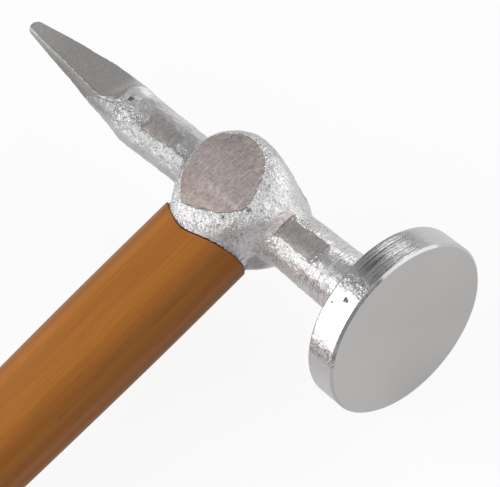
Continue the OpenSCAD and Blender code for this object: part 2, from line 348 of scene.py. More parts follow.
class Wire:
    """One output of a node. Arithmetic on it adds Math nodes."""

    def __init__(self, nodes, socket):
        self.nodes, self.socket = nodes, socket

    def math(self, operation, *others, swap=False, clamp=False):
        """A Math node on this wire and the others, or on the others first when swap is set."""
        values = [*others, self] if swap else [self, *others]
        return self.nodes.node("Math", {"operation": operation, "use_clamp": clamp},
                               dict(enumerate(values)))

    def __add__(self, other):
        return self.math("ADD", other)

    def __sub__(self, other):
        return self.math("SUBTRACT", other)

    def __mul__(self, other):
        return self.math("MULTIPLY", other)

    def __truediv__(self, other):
        return self.math("DIVIDE", other)

    def __pow__(self, other):
        return self.math("POWER", other)

    def __rsub__(self, other):
        return self.math("SUBTRACT", other, swap=True)

    def __rtruediv__(self, other):
        return self.math("DIVIDE", other, swap=True)

    __radd__ = __add__
    __rmul__ = __mul__

    def clamped(self):
        """This value kept between 0 and 1."""
        return self.math("ADD", 0, clamp=True)

    def size(self):
        """This value without its sign."""
        return self.math("ABSOLUTE")

    def step(self, low, high, to_low=0, to_high=1):
        """Smooth change from to_low to to_high while this wire goes from low to high."""
        return self.nodes.node("MapRange", {"interpolation_type": "SMOOTHSTEP"},
                               {"Value": self, "From Min": low, "From Max": high,
                                "To Min": to_low, "To Max": to_high})


class Nodes:
    """A node tree under construction."""

    def __init__(self, tree):
        self.tree = tree

    def node(self, kind, settings=None, sockets=None, output=0):
        """Adds a node, sets its settings, fills or links its sockets and returns one output."""
        made = self.tree.nodes.new(kind if kind.startswith("Geometry") else "ShaderNode" + kind)
        for setting, value in (settings or {}).items():
            setattr(made, setting, value)
        for socket, value in (sockets or {}).items():
            if isinstance(value, Wire):
                self.tree.links.new(value.socket, made.inputs[socket])
            else:
                made.inputs[socket].default_value = value
        return Wire(self, made.outputs[output])

    def outputs(self, kind, vector=None):
        """Every output of a node that takes at most one vector."""
        made = self.tree.nodes.new(kind)
        if vector:
            self.tree.links.new(vector.socket, made.inputs[0])
        return [Wire(self, socket) for socket in made.outputs]


class Finish(Nodes):
    """A node-based material under construction."""

    def __init__(self, name):
        self.material = bpy.data.materials.new(name)
        self.material.use_nodes = True
        super().__init__(self.material.node_tree)
        self.tree.nodes.clear()
        self.output = self.tree.nodes.new("ShaderNodeOutputMaterial")
        self.here = self.node("TexCoord", output="Object")
        self.x, self.y, self.z = self.outputs("ShaderNodeSeparateXYZ", self.here)

    def grain(self, scale, detail, roughness=0.5, turn=(0, 0, 0)):
        """Noise between 0 and 1. Three scales stretch it along the axes, then it may be turned."""
        where = self.here
        if isinstance(scale, tuple):
            where = self.node("Mapping", {"vector_type": "POINT"},
                              {"Vector": where, "Scale": scale, "Rotation": turn})
            scale = 1
        return self.node("TexNoise", {"noise_dimensions": "3D"},
                         {"Vector": where, "Scale": scale, "Detail": detail, "Roughness": roughness})

    def cells(self, scale):
        """Distance to the nearest of many scattered points, in cells."""
        return self.node("TexVoronoi", {"feature": "F1"}, {"Vector": self.here, "Scale": scale})

    def between(self, low, high, value, soft):
        """1 where value lies between low and high, with soft edges."""
        return value.step(low - soft, low + soft) * value.step(high - soft, high + soft, 1, 0)

    def near(self, place, radius, ragged):
        """1 within a radius of a place, with an edge that a small pattern makes ragged."""
        away = self.node("VectorMath", {"operation": "DISTANCE"}, {0: self.here, 1: place}, output=1)
        return (away + ragged * radius).step(radius * 0.7, radius * 1.2, 1, 0)

    def mix(self, factor, a, b, blend="MIX"):
        """Colour a where factor is 0 and colour b where it is 1."""
        a, b = (c if isinstance(c, Wire) else (*c, 1) for c in (a, b))
        return self.node("Mix", {"data_type": "RGBA", "blend_type": blend},
                         {"Factor": factor, 6: a, 7: b}, output=2)

    def shade(self, colour, amount):
        """Colour multiplied by a wire."""
        return self.mix(1.0, colour, amount, "MULTIPLY")

    def bump(self, height, distance, strength):
        """Normal of a surface that a height between 0 and 1 raises by the distance."""
        return self.node("Bump", {}, {"Height": height, "Distance": distance, "Strength": strength})

    def end(self, **sockets):
        """Ends the material in a Principled shader with these sockets."""
        named = {name.replace("_", " "): value for name, value in sockets.items()}
        colour = named["Base Color"]
        named["Base Color"] = colour if isinstance(colour, Wire) else (*colour, 1)
        shader = self.node("BsdfPrincipled", {}, named)
        self.tree.links.new(shader.socket, self.output.inputs["Surface"])
        return self.material


def on_flat(height, level):
    """1 where the height has reached a flat that is ground at this level."""
    return height.step(level - 0.00010, level - 0.00002)


def ground_masks(made, s, height, ragged):
    """Cheeks, short flats on neck and shank, and pick, each 1 where it is ground."""
    cheek = on_flat(height, s.cheek_width / 2)
    marks = 0
    for start, run, level in ((s.neck_mark_reach, s.neck_mark, s.neck_radius_boss - s.mark_depth),
                              (-s.shank_mark_reach - s.shank_mark, s.shank_mark,
                               s.shank_radius_boss - s.mark_depth / 2)):
        place = made.between(start - s.face_reach, start + run - s.face_reach,
                             made.x + ragged * RAGGED, SOFT)
        marks = place * on_flat(height, level) * 0.9 + marks
    # Below the axis the pick's ground part starts nearer to the point, along a curve.
    low = (0.001 - made.y).math("MAXIMUM", 0)
    low = low * low * 60 + (low - 0.003).math("MAXIMUM", 0) * 5
    start_x = -s.face_reach - s.ground_reach
    pick = (made.x + low + ragged * RAGGED).step(start_x - SOFT, start_x + SOFT, 1, 0)
    return cheek, marks, pick


def head_steel(colours, s):
    """Bright casting, ground on cheeks, marks and pick, and turned where the neck nears the disc."""
    made = Finish("head_steel")
    x, y, z = made.x, made.y, made.z.size()
    ragged = made.grain(620, 3, 0.65) - 0.5
    cheek, marks, pick = ground_masks(made, s, z, ragged)
    ground = (cheek + marks + pick).clamped()

    # The casting: grit and lumps, calmer along the shank's top, with turning lines beside the disc.
    grit = made.grain(1700, 3, 0.7)
    lumps = made.grain(700, 2)
    lines = made.grain((3900, 240, 240), 3, 0.65)
    turned = x.step(*TURNED_X)
    calm = x.step(*CALM_X, 1, 0) * y.step(*CALM_Y)
    blotch_and_highlight = made.near(*BLOTCH_AND_HIGHLIGHT, ragged * 3)
    shank = x.step(*SHANK_X, 1, 0)
    # Painted shade on the shank's lower side, with a deeper painted band in it.
    shank_shade = shank * (y.step(*SHANK_SHADE_Y, 0.25, 0) + made.between(*SHANK_SHADE_BAND_Y, y, 0.0006) * 0.28)
    rough = (grit * 0.6 + lumps * (0.4 + blotch_and_highlight * 0.7)) * (1 - turned * 0.75) * (1 - calm * 0.7)
    rough = rough * (1 - shank * 0.45) + lines * turned * 0.55
    specks = made.grain(1350, 2, 0.6).step(0.60, 0.68)
    cast = made.shade(colours.cast, made.grain(140, 2).step(0.3, 0.7, 0.88, 1.05))
    # Painted highlights: lighter colour on the boss, on the rough blotch and on the pick.
    painted_highlight = made.near(*BOSS_HIGHLIGHT, ragged) * 0.14 + blotch_and_highlight * 0.20
    painted_highlight = painted_highlight + made.near(*PICK_HIGHLIGHT, ragged * 2) * 0.45
    speckle = specks * 0.42 * (1 - calm * 0.7) * (1 - turned * 0.7) * (1 - shank * 0.6)
    cast = made.shade(cast, 1 - speckle + painted_highlight - turned * lines.step(0.40, 0.56, 0.08, -0.30) - shank_shade)

    # The ground steel: fine scratches, warmer towards the handle, with painted shade below the pick's flat
    # and over the wheel's run-out, and a painted highlight towards the point.
    scratches = made.grain((2600, 420, 2600), 3, 0.65, turn=(0, 0, math.radians(7)))
    tone = scratches.step(0.3, 0.7, 0.86, 1.10) + scratches.step(0.62, 0.70) * 0.30
    tone = tone - made.grain(1900, 2).step(0.3, 0.7, -0.10, 0.14)
    tone = tone - y.step(*CHEEK_TOP_Y) * cheek * 0.16
    steel = made.mix(pick, made.mix(cheek, colours.mark, colours.ground), colours.pick)
    steel = made.shade(steel, 1 + (tone - 1) * (1 - pick * 0.6))
    steel = made.mix(y.step(*CHEEK_LOW_Y, 0.45, 0) * cheek, steel, colours.warm)
    # Painted shade on the pick's underside, below its flat.
    under = (y + (x - UNDER_SHADE_X) * UNDER_SHADE_SLOPE + ragged * 0.001).step(*UNDER_SHADE_Y, 1, 0)
    # Painted shade over the wheel's run-out, deeper on its lower side.
    runout_shade = x.step(*RUNOUT_SHADE_X) * y.step(*RUNOUT_SHADE_Y, 0.40, 0.08) * (1 - under)
    # A painted highlight that lightens the last stretch of the pick.
    point = x.step(*POINT_HIGHLIGHT_X, 0.20, 0)
    steel = made.shade(steel, 1 - under * pick * 0.52 - runout_shade * pick + point * pick)

    # Pits, one smooth spot under the boss painted dark as shade, and painted highlight streaks where the
    # neck's flat begins.
    smooth_shaded_spot = made.near(*SMOOTH_SHADED_SPOT, ragged)
    pits = (made.cells(620) + grit * 0.35).step(0.30, 0.20) * (1 - ground)
    for place, radius in CAST_PITS:
        pits = pits + made.near(place, radius, (grit - 0.5) * 3)
    pits = pits.clamped()
    # Painted highlight streaks, pinkish and less metallic, where the neck's flat begins.
    streaks = made.between(*HIGHLIGHT_STREAKS_X, x + ragged * 0.001, SOFT) * z.step(*HIGHLIGHT_STREAKS_Z)
    streaks = streaks * made.between(*HIGHLIGHT_STREAKS_Y, y + ragged * 0.001, 0.0006)
    metal = made.shade(made.mix(ground, cast, steel), 1 - smooth_shaded_spot * 0.5)
    metal = made.mix(streaks * lines.step(0.40, 0.52, 0.4, 1), metal, colours.streak)
    height = rough * (1 - ground) * (1 - smooth_shaded_spot * 0.8) + scratches * ground * 0.12 - pits * 0.4
    dullness = ground * 0.12 + under * pick * 0.2 + shank * (1 - ground) * 0.06 + smooth_shaded_spot * 0.1
    return made.end(
        Base_Color=made.mix(pits * 0.8, metal, colours.pit), Metallic=1 - streaks * 0.55,
        Roughness=dullness + grit.step(0.3, 0.7, 0.17, 0.35), Normal=made.bump(height, 0.0005, 1.0))


def turned_rim(colours):
    """Rim and back of the disc: grooved by turning, with a smooth stretch and two rough ones."""
    made = Finish("turned_rim")
    turn = made.y.math("ARCTAN2", made.z) * (180 / math.pi) + made.grain(300, 2) * 8 - 4
    grooves = made.grain((2600, 70, 70), 3, 0.7)
    coarse = made.grain(1500, 3, 0.65)
    rim = made.x.step(*RIM_X)
    cut = made.between(*GROOVED, turn, 4) * rim
    rough = (made.between(*ROUGH_HIGH, turn, 3) + made.between(*ROUGH_LOW, turn, 3)) * rim
    smooth = turn.step(*SMOOTH) * rim
    tone = 1 - smooth * 0.14 - cut * grooves.step(0.38, 0.56, 0.70, 0.20)
    # Painted shade on the rim's side towards the handle.
    tone = tone - rough * coarse.step(0.42, 0.58) * 0.45 - turn.step(*RIM_SHADE_EDGE, 0.07, 0)
    bevel = made.x.step(*BEVEL_X)
    # The bevel carries painted shade towards the handle and a painted highlight, white and barely metallic,
    # towards the top.
    edge = bevel * turn.step(*BEVEL_SHADE_EDGE, 1, 0)
    shine = bevel * made.between(*BEVEL_HIGHLIGHT, turn, 3)
    pits = 0
    for place, radius in RIM_PITS:
        pits = made.near(place, radius, (coarse - 0.5) * 4) + pits
    height = grooves * (0.3 + cut * 0.9) * (1 - smooth * 0.8) + coarse * (0.12 + rough * 0.9)
    height = height * (1 - bevel * 0.8) - pits * 0.4
    metal = made.mix(shine, made.shade(colours.cast, tone - edge * 0.26), colours.bevel)
    return made.end(
        Base_Color=made.mix(pits.clamped(), metal, colours.pit), Metallic=1 - shine * 0.8,
        Roughness=shine * 0.15 + coarse.step(0.3, 0.7, 0.20, 0.32),
        Normal=made.bump(height, 0.00022, 1.0))


def smooth_face(colours):
    """Striking face, fine ground and nearly even."""
    made = Finish("smooth_face")
    mottle = made.grain(60, 2)
    fine = made.grain(2600, 2)
    tone = mottle.step(0.3, 0.7, 0.97, 1.02)
    return made.end(
        Base_Color=made.shade(colours.face, tone), Metallic=1.0,
        Roughness=mottle.step(0.3, 0.7, 0.42, 0.46), Normal=made.bump(fine, 0.00001, 0.4))


def varnished_wood(colours, s, h):
    """Straight-grained wood under satin varnish, stained where it meets the steel."""
    made = Finish("varnished_wood")
    warp = made.grain((45, 5, 45), 2) * 0.004
    across = made.x + warp - PITH_X
    deep = made.z + warp - PITH_Z
    radius = (across * across + deep * deep) ** 0.5
    rings = (radius * (2 * math.pi / RING_WIDTH)).math("SINE").step(-1, 1)
    fibres = made.grain((2400, 60, 2400), 3, 0.65)
    streaks = made.grain((420, 9, 420), 3, 0.6)
    broad = made.grain((60, 8, 60), 2)
    late = (rings * 0.15 + streaks * 0.50 + broad * 0.35).step(0.22, 0.82)
    wood = made.mix(late, colours.wood_light, colours.wood_dark)
    # Painted shade on the handle's sides towards the face, towards the pick and below.
    wood = made.shade(wood, fibres.step(0.25, 0.75, 0.88, 1.07) * made.x.step(*SHADED_WOOD_FRONT_X, 1, 0.74)
                      * made.z.step(*SHADED_WOOD_LOW_Z, 0.78, 1) * made.x.step(*SHADED_WOOD_REAR_X, 0.70, 1))
    flecks = made.grain((1700, 120, 1700), 1).step(0.72, 0.78)
    share = (made.x + s.face_reach) * (2 / h.top_length)
    edge = ((share * share + s.skirt_bend ** 2) ** 0.5 - s.skirt_bend) * s.skirt_lift + s.skirt_y
    stain = (made.y - edge + made.grain(900, 3) * 0.0006).step(-0.0003, 0.0002)
    wood = made.mix(flecks * 0.35, wood, colours.wood_stain)
    wood = made.mix(stain * 0.45, wood, colours.wood_stain)
    return made.end(
        Base_Color=wood, Roughness=fibres.step(0.2, 0.8, 0.44, 0.56), Specular_IOR_Level=0.3,
        Coat_Weight=0.08, Coat_Roughness=0.35, Normal=made.bump(fibres, 0.00003, 0.4))


def bare_wood(colours, s):
    """Sawn end grain of the tenon and the wooden wedge."""
    made = Finish("bare_wood")
    fibres = made.grain((1500, 60, 1500), 3, 0.6)
    pores = made.cells(1500).step(0.18, 0.28)
    tone = fibres.step(0.25, 0.75, 0.75, 1.1) * pores.step(0, 1, 0.6, 1)
    share_x, share_z = (made.x + s.face_reach) * (2 / s.eye_length), made.z * (2 / s.eye_width)
    rim = (share_x * share_x + share_z * share_z + fibres * 0.2).step(0.72, 0.92)
    return made.end(
        Base_Color=made.mix(rim, made.shade(colours.raw_wood, tone), colours.dusty_wood),
        Roughness=0.75, Normal=made.bump(fibres + pores * 0.4, 0.00012, 0.6))


def wedge_metal(colours):
    """Dull mild steel, dented by the blows that drove it in."""
    made = Finish("wedge_metal")
    dents = made.grain(900, 3, 0.6)
    return made.end(
        Base_Color=made.shade(colours.wedge_steel, dents.step(0.3, 0.7, 0.8, 1.1)), Metallic=1.0,
        Roughness=dents.step(0.3, 0.7, 0.4, 0.55), Normal=made.bump(dents, 0.0001, 0.5))


def floor_paint(colours):
    """Pale floor that shows as white to the camera and keeps a soft shadow."""
    made = Finish("floor_paint")
    path = made.tree.nodes.new("ShaderNodeLightPath")
    seen = Wire(made, path.outputs["Is Camera Ray"])
    mirrored = Wire(made, path.outputs["Is Glossy Ray"])
    through = Wire(made, path.outputs["Is Transmission Ray"])
    white = made.node("Emission", {}, {"Color": (1, 1, 1, 1), "Strength": 1.0})
    paint = made.node("BsdfDiffuse", {}, {"Color": (*colours.floor, 1)})
    factor = (seen + through) * FLOOR_SEEN + mirrored * FLOOR_MIRRORED
    mixed = made.node("MixShader", {}, {0: factor, 1: paint, 2: white})
    made.tree.links.new(mixed.socket, made.output.inputs["Surface"])
    return made.material


def new_piece(name, vertices, faces, materials):
    """A mesh object at the origin, with its place in its vertices and its faces pointing out."""
    mesh = bpy.data.meshes.new(name)
    mesh.from_pydata([tuple(v) for v in vertices], [], faces)
    shell = bmesh.new()
    shell.from_mesh(mesh)
    bmesh.ops.recalc_face_normals(shell, faces=shell.faces)
    shell.to_mesh(mesh)
    shell.free()
    for material in materials:
        mesh.materials.append(material)
    piece = bpy.data.objects.new(name, mesh)
    bpy.context.scene.collection.objects.link(piece)
    return piece


def seat(piece, node):
    """Rides the piece on the body in place of its CAD node."""
    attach(piece, BODY)
    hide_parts(node)


def tube_faces(rings, sides):
    """Quads between successive rings, with a polygon over each end."""
    faces = [tuple(range(sides)), tuple(range((rings - 1) * sides, rings * sides))]
    for k in range(rings - 1):
        here, after = k * sides, (k + 1) * sides
        for i in range(sides):
            j = (i + 1) % sides
            faces.append((here + i, here + j, after + j, after + i))
    return faces


def apply_modifiers(piece):
    """Turns the evaluated piece into its own plain mesh."""
    graph = bpy.context.evaluated_depsgraph_get()
    mesh = bpy.data.meshes.new_from_object(piece.evaluated_get(graph))
    old = piece.data
    piece.modifiers.clear()
    piece.data = mesh
    bpy.data.meshes.remove(old)


def carve(piece, cutters, operation="DIFFERENCE"):
    """Cuts each closed solid from the piece. A cut face takes its cutter's material."""
    for cutter in cutters:
        cut = piece.modifiers.new("carve", "BOOLEAN")
        cut.operation = operation
        cut.solver = "EXACT"
        cut.material_mode = "TRANSFER"
        cut.object = cutter
        apply_modifiers(piece)
        bpy.data.objects.remove(cutter)


def prism(name, outline, low, high, material, place=Matrix()):
    """A closed bar between two heights along Y, of an outline in X and Z, moved by a matrix."""
    corners = [place @ Vector((x, y, z)) for y in (low, high) for x, z in outline]
    return new_piece(name, corners, tube_faces(2, len(outline)), [material])


def block(name, low, high, material):
    """A closed box between two corners."""
    outline = [(low[0], low[2]), (high[0], low[2]), (high[0], high[2]), (low[0], high[2])]
    return prism(name, outline, low[1], high[1], material)


def sharpen(piece, limit_degrees):
    """Smooth shading with sharp edges where faces meet at more than the limit."""
    piece.data.shade_smooth()
    piece.data.set_sharp_from_angle(angle=math.radians(limit_degrees))


def smooth_union(a, b, reach):
    """Blend of two distance fields whose fillet has the given reach."""
    near = np.clip(0.5 + 0.5 * (b - a) / reach, 0, 1)
    return b * (1 - near) + a * near - reach * near * (1 - near)


class HeadShape:
    """The unground casting as a distance field round the head's axis."""

    def __init__(self, s):
        self.s = s
        self.boss_x = -s.face_reach - s.boss_back
        self.boss_face_x = self.boss_x + s.boss_front
        self.boss_pick_x = self.boss_x - s.boss_rear
        self.full_x = -s.face_reach - s.full_reach
        self.tip_x = HEAD_LOW[0]
        self.tip_centre = self.tip_x + s.tip_radius
        self.flat_x = -s.face_reach - s.flat_reach

    def down_pick(self, x):
        """Share of the way from the full shank to the point."""
        return np.clip((self.full_x - x) / (self.full_x - self.tip_centre), 0, 1)

    def bar_radius(self, x):
        """Radius of the neck, the shank and the pick at x."""
        s = self.s
        neck = np.interp(x, [self.boss_face_x, -s.disc_thickness], [s.neck_radius_boss, s.neck_radius_disc])
        shank = np.interp(x, [self.full_x, self.boss_pick_x], [s.shank_radius_full, s.shank_radius_boss])
        pick = s.shank_radius_full + (s.tip_radius - s.shank_radius_full) * self.down_pick(x) ** s.pick_belly
        return np.where(x > self.boss_x, neck, np.where(x > self.full_x, shank, pick))

    def bar_rise(self, x):
        """Height of the bar's centre at x."""
        s, down = self.s, self.down_pick(x)
        pick = s.tip_rise * (1 + s.rise_bend) * down / (down + s.rise_bend)
        neck_end = -s.disc_thickness - s.neck_fillet
        along = np.clip((x - self.boss_face_x) / (neck_end - self.boss_face_x), 0, 1)
        return pick - s.neck_sag * np.sin(math.pi * along) ** 2

    def field(self, x, y, z):
        """Distance-like field, negative inside the casting."""
        s = self.s
        bar = np.hypot(y - self.bar_rise(x), z) - self.bar_radius(x)
        along, up = x - self.boss_x, y - s.boss_rise
        half_along = np.where(along > 0, s.boss_front, s.boss_rear)
        half_up = np.where(up > 0, s.boss_top, s.boss_low)
        taper = np.clip(1 + up / s.boss_taper_low, 0, 1)
        taper = s.boss_taper * np.clip(along / s.boss_front, 0, 1) ** 2 * taper
        round_level = np.abs(along / half_along) ** s.boss_round + np.abs(up / half_up) ** s.boss_round
        level = (round_level ** (s.boss_power / s.boss_round)
                 + np.abs(z * (1 + taper) * 2 / s.boss_width) ** s.boss_power) ** (1 / s.boss_power)
        reach = np.sqrt(along ** 2 + up ** 2 + z ** 2)
        boss = reach * (1 - 1 / np.maximum(level, 1e-6))
        share_x, share_z = (x + s.face_reach) * 2 / s.skirt_length, z * 2 / s.skirt_width
        wall = (np.sqrt(share_x ** 2 + share_z ** 2) - 1) * s.skirt_width / 2
        edge = s.skirt_y + s.skirt_lift * (np.hypot(share_x, s.skirt_bend) - s.skirt_bend)
        skirt = np.maximum(np.maximum(wall, edge - y), y)
        return smooth_union(bar, smooth_union(boss, skirt, s.skirt_blend), s.boss_blend)

    def ring(self, x, angles):
        """Radii of the casting's surface at x, found by halving."""
        low = np.zeros_like(angles)
        high = np.full_like(angles, self.s.boss_front + self.s.boss_rear)
        for _ in range(HALVINGS):
            middle = (low + high) / 2
            outside = self.field(x, middle * np.cos(angles) + self.bar_rise(x), middle * np.sin(angles)) > 0
            high = np.where(outside, middle, high)
            low = np.where(outside, low, middle)
        return low


def unevenness(point, s):
    """Small radial error of the casting at a point: slow swells and fine grain."""
    swell = noise.noise(point * SWELL_FREQUENCY)
    grain = noise.noise(point * GRAIN_FREQUENCY) + 0.6 * noise.noise(point * FINE_FREQUENCY)
    return s.cast_swell * swell + s.cast_grain * grain


def arc(centre, radius, start, end):
    """Points of an arc in the plane of distance and radius, angles in degrees."""
    angles = np.radians(np.linspace(start, end, ARC_STEPS + 1))
    return [(centre[0] + radius * math.cos(a), centre[1] + radius * math.sin(a)) for a in angles]


def disc_profile(s):
    """Distance and radius from the face's bevel over the rim and the back to the neck's fillet."""
    rim, back, neck = s.disc_radius, -s.disc_thickness, s.neck_radius_disc
    profile = [(0.0, rim - s.face_bevel), (-s.face_bevel, rim)]
    profile += [(x, rim) for x in np.linspace(-s.face_bevel, back + s.back_round, RIM_RINGS)[1:-1]]
    profile += arc((back + s.back_round, rim - s.back_round), s.back_round, 90, 180)
    profile += [(back, r) for r in np.linspace(rim - s.back_round, neck + s.neck_fillet, BACK_RINGS)[1:-1]]
    return profile + arc((back - s.neck_fillet, neck + s.neck_fillet), s.neck_fillet, 0, -90)


def stations(shape, neck_x):
    """Places of the rings behind the disc, closer where the casting's shape changes quickly."""
    spans = ((shape.boss_face_x + BLEND_FRONT, NECK_SPACING),
             (shape.boss_face_x - BLEND_INSIDE, BLEND_SPACING),
             (shape.boss_pick_x + STEEP_INSIDE, BOSS_SPACING),
             (shape.boss_pick_x - STEEP_REAR, STEEP_SPACING), (shape.tip_centre, PICK_SPACING))
    places, start = [], neck_x
    for end, spacing in spans:
        places.extend(np.linspace(start, end, max(2, round(abs(end - start) / spacing)) + 1)[1:])
        start = end
    return places


def head_casting(s, materials):
    """The head before grinding, as rings about its axis from the face to the point."""
    shape = HeadShape(s)
    angles = np.linspace(0, 2 * math.pi, CAST_SIDES, endpoint=False)
    back = -s.disc_thickness
    neck_x = back - s.neck_fillet
    rings = [(x, np.full(CAST_SIDES, r), 0.0) for x, r in disc_profile(s)]
    rings += [(x, shape.ring(x, angles), float(shape.bar_rise(x))) for x in stations(shape, neck_x)]
    for a in np.radians(np.linspace(0, 88, POINT_RINGS)[1:]):
        rings.append((shape.tip_centre - s.tip_radius * math.sin(a),
                      np.full(CAST_SIDES, s.tip_radius * math.cos(a)), s.tip_rise))
    vertices = []
    for x, radii, rise in rings:
        rough = min(max((neck_x - x) / NECK_FADE, 0), 1)
        rough = rough * min(max((x - shape.tip_centre) / POINT_FADE, 0), 1)
        for a, r in zip(angles, radii):
            if rough:
                r += rough * unevenness(Vector((x, r * math.cos(a), r * math.sin(a))), s)
            vertices.append((x, r * math.cos(a) + rise, r * math.sin(a)))
    head = new_piece("hammer_head_dressed", vertices, tube_faces(len(rings), CAST_SIDES), materials)
    index = {material.name: i for i, material in enumerate(materials)}
    for face in head.data.polygons:
        if face.normal.x > 0.9 and face.center.x > -s.face_bevel / 4:
            face.material_index = index["smooth_face"]
        elif face.center.x > back - RIM_OVERLAP:
            face.material_index = index["turned_rim"]
    return head, shape


def oval_plug(name, s, material, shrink=0.0):
    """A closed oval bar along the handle's axis, longer than the eye is deep."""
    half_x, half_z = s.eye_length / 2 - shrink, s.eye_width / 2 - shrink
    turns = np.linspace(0, 2 * math.pi, OVAL_SIDES, endpoint=False)
    outline = [(-s.face_reach + half_x * math.cos(a), half_z * math.sin(a)) for a in turns]
    return prism(name, outline, -s.disc_radius, s.disc_radius, material)


def wheel_cutter(shape, s, side, material):
    """What a wheel grinds off one side of the pick: a sloping flat and its curved run-out."""
    slope = math.atan2((s.flat_width - s.flat_tip_width) / 2, shape.flat_x - shape.tip_x)
    far, radius = s.face_reach + s.full_reach, s.wheel_radius
    outline = [(-far, 0.0)]
    for a in np.radians(np.linspace(0, 90, WHEEL_STEPS)):
        outline.append((radius * math.sin(a), radius * (1 - math.cos(a))))
    outline += [(radius, 2 * radius), (-far, 2 * radius)]
    start = Vector((shape.flat_x, float(shape.bar_rise(shape.flat_x)), 0))
    tilt = Matrix.Rotation(-side * s.flat_tilt, 4, "X")
    place = (Matrix.Translation(start) @ tilt @ Matrix.Scale(side, 4, (0, 0, 1))
             @ Matrix.Translation((0, 0, s.flat_width / 2)) @ Matrix.Rotation(-slope, 4, "Y"))
    return prism("wheel", outline, -s.disc_radius, s.disc_radius, material, place)


def ramped_slab(near_x, far_x, height, side, s, material):
    """What a file takes off the neck or shank above a height, with short ramps at its ends."""
    run, rise = (far_x - near_x) * s.mark_ramp, s.mark_depth * 3
    lid = side * s.disc_radius
    outline = [(near_x, side * height), (far_x, side * height), (far_x + run, side * (height + rise)),
               (far_x + run, lid), (near_x - run / 3, lid)]
    return prism("slab", outline, -s.disc_radius, s.disc_radius, material)


def head_cutters(shape, s, steel):
    """Everything that is ground or bored out of the casting."""
    neck_x, shank_x = -s.face_reach + s.neck_mark_reach, -s.face_reach - s.shank_mark_reach
    neck_level, shank_level = s.neck_radius_boss - s.mark_depth, s.shank_radius_boss - s.mark_depth / 2
    cutters = []
    for side in (-1, 1):
        low_z, high_z = sorted((side * s.cheek_width / 2, side * s.disc_radius))
        cutters.append(block("slab", (shape.boss_pick_x - CHEEK_OVERRUN, -s.disc_radius, low_z),
                             (shape.boss_face_x + CHEEK_OVERRUN, s.disc_radius, high_z), steel))
        cutters.append(ramped_slab(neck_x, neck_x + s.neck_mark, neck_level, side, s, steel))
        cutters.append(ramped_slab(shank_x, shank_x - s.shank_mark, shank_level, side, s, steel))
        cutters.append(wheel_cutter(shape, s, side, steel))
    cutters.append(oval_plug("bore", s, steel))
    return cutters


class HAMMER_OT_head(bpy.types.Operator):
    """Casts the head, then grinds its cheeks, marks and pick and bores its eye"""
    bl_idname = "hammer.head"
    bl_label = "Hammer head"

    def execute(self, context):
        s, colours = context.scene.hammer_head, context.scene.hammer_colours
        steel = head_steel(colours, s)
        head, shape = head_casting(s, [steel, turned_rim(colours), smooth_face(colours)])
        carve(head, head_cutters(shape, s, steel))
        sharpen(head, STEEL_CREASE)
        seat(head, "hammer_head")
        return {"FINISHED"}


def handle_tree(sizes, material):
    """Geometry Nodes that loft the handle: a round bar whose rings follow a course of ovals."""
    tree = bpy.data.node_groups.new("handle_loft", "GeometryNodeTree")
    tree.interface.new_socket("Geometry", in_out="OUTPUT", socket_type="NodeSocketGeometry")
    for name in sizes:
        tree.interface.new_socket(name, in_out="INPUT", socket_type="NodeSocketFloat")
    made = Nodes(tree)
    source = tree.nodes.new("NodeGroupInput")
    size = {name: Wire(made, source.outputs[name]) for name in sizes}
    bar = made.node("GeometryNodeMeshCylinder", {}, {"Vertices": HANDLE_SIDES, "Radius": 1.0, "Depth": 1.0,
                                                     "Side Segments": HANDLE_RINGS})
    px, py, pz = made.outputs("ShaderNodeSeparateXYZ", made.outputs("GeometryNodeInputPosition")[0])
    share = pz + 0.5
    share = share - (share * (2 * math.pi)).math("SINE") * (END_CROWDING / (2 * math.pi))
    y = size["Butt Y"] + share * (size["Top Y"] - size["Butt Y"])
    swell = y.step(size["Shoulder Y"], size["Swell Y"])
    half = {}
    for way in ("Length", "Width"):
        total = size["Eye " + way] + (size["Top " + way] - size["Eye " + way]) * swell
        previous, start = size["Top " + way], size["Level Y"]
        for place, end in (("Waist", "Waist Y"), ("Grip", "Grip Y"), ("Butt", "Round Y")):
            total = total + (size[f"{place} {way}"] - previous) * y.step(start, size[end])
            previous, start = size[f"{place} {way}"], size[end]
        half[way] = total / 2
    deep = ((size["Round Y"] - y) / (size["Round Y"] - size["Butt Y"])).clamped()
    cut = (size["Round Y"] - size["Butt Y"]) * (1 - (1 - deep * deep).math("MAXIMUM", 0) ** 0.5)
    # The tenon is an ellipse, of power 2, and the handle below it is squarer.
    power = 2 + (size["Squareness"] - 2) * swell
    grow = (px.size() ** power + py.size() ** power) ** (-1 / power)
    bend = size["Shoulder Bend"]
    lift = size["Shoulder Lift"] * (((px * grow) ** 2 + bend * bend) ** 0.5 - bend)
    lift = lift * y.step(size["Shoulder Y"] - size["Level Run"], size["Shoulder Y"])
    wander = made.node("TexNoise", {"noise_dimensions": "4D"},
                       {"Vector": made.node("CombineXYZ", {}, {0: px * WANDER_ROUND, 1: y * WANDER_ALONG,
                                                               2: py * WANDER_ROUND}),
                        "W": WANDER_SEED, "Scale": 1.0, "Detail": 1.0})
    grow = grow * (1 + (wander - 0.5) * size["Unevenness"] * swell)
    place = made.node("CombineXYZ", {}, {0: size["Axis X"] + (half["Length"] - cut) * px * grow,
                                         1: y + lift, 2: (half["Width"] - cut) * py * grow * -1})
    moved = made.node("GeometryNodeSetPosition", {}, {"Geometry": bar, "Position": place})
    real = made.node("GeometryNodeRealizeInstances", {}, {"Geometry": moved})
    painted = made.node("GeometryNodeSetMaterial", {}, {"Geometry": real, "Material": material})
    result = tree.nodes.new("NodeGroupOutput")
    tree.links.new(painted.socket, result.inputs["Geometry"])
    return tree


